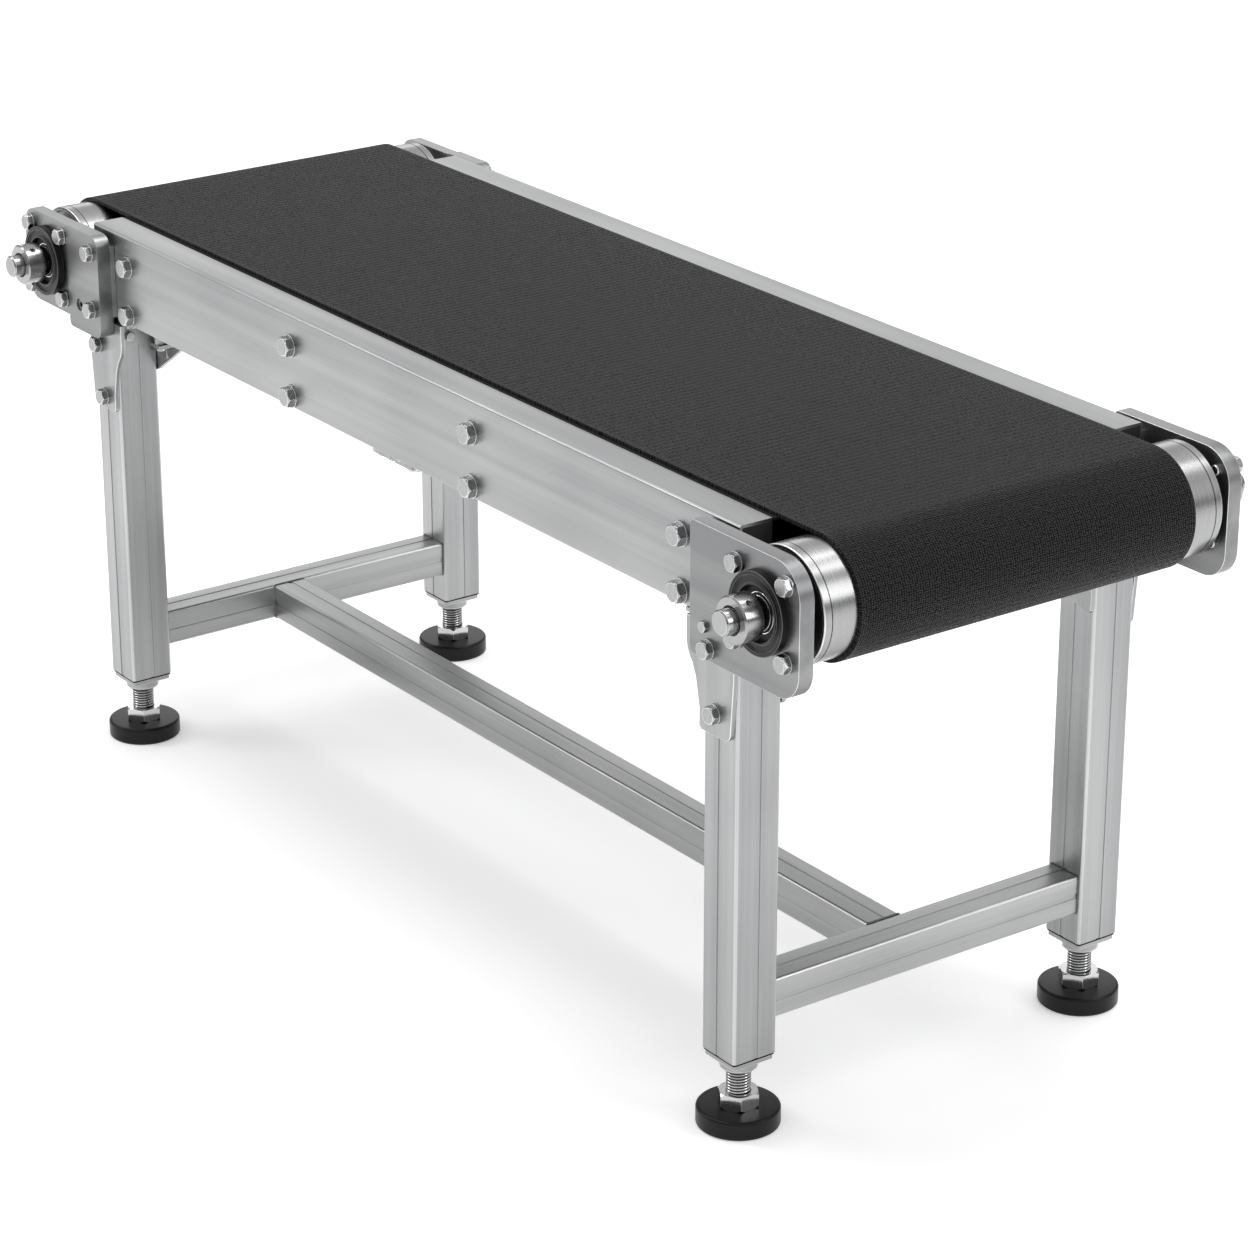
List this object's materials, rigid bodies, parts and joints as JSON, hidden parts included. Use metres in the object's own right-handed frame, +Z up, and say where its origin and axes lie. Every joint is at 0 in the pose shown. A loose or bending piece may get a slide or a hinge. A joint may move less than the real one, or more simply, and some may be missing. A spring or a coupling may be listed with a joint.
{
  "type": "belt conveyor",
  "caption": "Slider-bed belt conveyor section: black belt over two bearing-carried drums, side rails, screw take-up, welded square-tube legs with H-base and levelling feet.",
  "frame": {"origin": "on the floor, under the middle of the conveyor", "axes": "+X along the belt from the tail (take-up) end to the head end, +Y across to the far side rail, +Z up"},
  "size_m": [1.4089, 0.6066, 0.6083],
  "materials": {
    "brushed_steel": "satin brushed stainless",
    "turned_steel": "fine turned, bright",
    "plated_steel": "bright zinc plate",
    "belt": "fine embossed matt black",
    "housing": "satin black",
    "seal": "matt black nitrile",
    "plastic": "matt black",
    "pad": "satin black moulded nylon"
  },
  "bodies": {
    "root": {"side_rail_near": "brushed_steel", "side_rail_far": "brushed_steel", "rail_end_caps": "plastic", "slider_bed": "brushed_steel", "cross_members": "brushed_steel", "belt": "belt", "head_plate_near": "brushed_steel", "head_plate_far": "brushed_steel", "head_plate_spacers": "brushed_steel", "head_bearing_housings": "housing", "head_outer_rings": "turned_steel", "head_seals": "seal", "head_legs": "brushed_steel", "tail_legs": "brushed_steel", "crossbars": "brushed_steel", "stretcher": "brushed_steel", "leg_brackets": "brushed_steel", "leg_top_angles": "brushed_steel", "inner_gussets": "brushed_steel", "gusset_hangers": "brushed_steel", "foot_gaskets": "plastic", "foot_sockets": "plated_steel", "return_brackets": "brushed_steel", "return_axle": "brushed_steel", "rail_bolts": "plated_steel", "rail_washers": "plated_steel", "plate_bolts": "plated_steel", "plate_washers": "plated_steel", "frame_nuts": "plated_steel", "small_screws": "plated_steel", "take_up_screws": "plated_steel"},
    "head_roller": {"head_drum": "turned_steel", "head_drum_discs": "brushed_steel", "head_shaft": "turned_steel", "head_inner_rings": "turned_steel", "head_collars": "turned_steel"},
    "head_ball_sets": {"head_balls": "turned_steel"},
    "take_up": {"tail_plate_near": "brushed_steel", "tail_plate_far": "brushed_steel", "tail_bearing_housings": "housing", "tail_outer_rings": "turned_steel", "tail_seals": "seal", "take_up_blocks": "brushed_steel", "take_up_bolts": "plated_steel", "take_up_washers": "plated_steel"},
    "tail_roller": {"tail_drum": "turned_steel", "tail_drum_discs": "brushed_steel", "tail_shaft": "turned_steel", "tail_inner_rings": "turned_steel", "tail_collars": "turned_steel"},
    "tail_ball_sets": {"tail_balls": "turned_steel"},
    "return_roller": {"return_roller": "turned_steel"},
    "foot_1": {"foot_pad_1": "pad", "foot_stud_1": "plated_steel"},
    "foot_2": {"foot_pad_2": "pad", "foot_stud_2": "plated_steel"},
    "foot_3": {"foot_pad_3": "pad", "foot_stud_3": "plated_steel"},
    "foot_4": {"foot_pad_4": "pad", "foot_stud_4": "plated_steel"}
  },
  "joints": [
    {"name": "head_roller_spin", "type": "hinge", "parent": "root", "child": "head_roller", "pos_m": [0.645, 0, 0.549], "axis": [0, 1, 0], "continuous": true},
    {"name": "head_balls_spin", "type": "hinge", "parent": "root", "child": "head_ball_sets", "pos_m": [0.645, 0, 0.549], "axis": [0, 1, 0], "continuous": true},
    {"name": "take_up_slide", "type": "slide", "parent": "root", "child": "take_up", "axis": [1, 0, 0], "range_m": [0, 0.01]},
    {"name": "tail_roller_spin", "type": "hinge", "parent": "take_up", "child": "tail_roller", "pos_m": [-0.645, 0, 0.549], "axis": [0, 1, 0], "continuous": true},
    {"name": "tail_balls_spin", "type": "hinge", "parent": "take_up", "child": "tail_ball_sets", "pos_m": [-0.645, 0, 0.549], "axis": [0, 1, 0], "continuous": true},
    {"name": "return_roller_spin", "type": "hinge", "parent": "root", "child": "return_roller", "pos_m": [0, 0, 0.495], "axis": [0, 1, 0], "continuous": true},
    {"name": "foot_1_level", "type": "slide", "parent": "root", "child": "foot_1", "axis": [0, 0, 1], "range_m": [-0.03, 0.02]},
    {"name": "foot_2_level", "type": "slide", "parent": "root", "child": "foot_2", "axis": [0, 0, 1], "range_m": [-0.03, 0.02]},
    {"name": "foot_3_level", "type": "slide", "parent": "root", "child": "foot_3", "axis": [0, 0, 1], "range_m": [-0.03, 0.02]},
    {"name": "foot_4_level", "type": "slide", "parent": "root", "child": "foot_4", "axis": [0, 0, 1], "range_m": [-0.03, 0.02]}
  ],
  "couplings": [
    {"joint": "head_balls_spin", "follows": "head_roller_spin", "ratio": 0.3963},
    {"joint": "tail_roller_spin", "follows": "head_roller_spin", "ratio": 1},
    {"joint": "tail_balls_spin", "follows": "head_roller_spin", "ratio": 0.3963},
    {"joint": "return_roller_spin", "follows": "head_roller_spin", "ratio": -2.97}
  ]
}
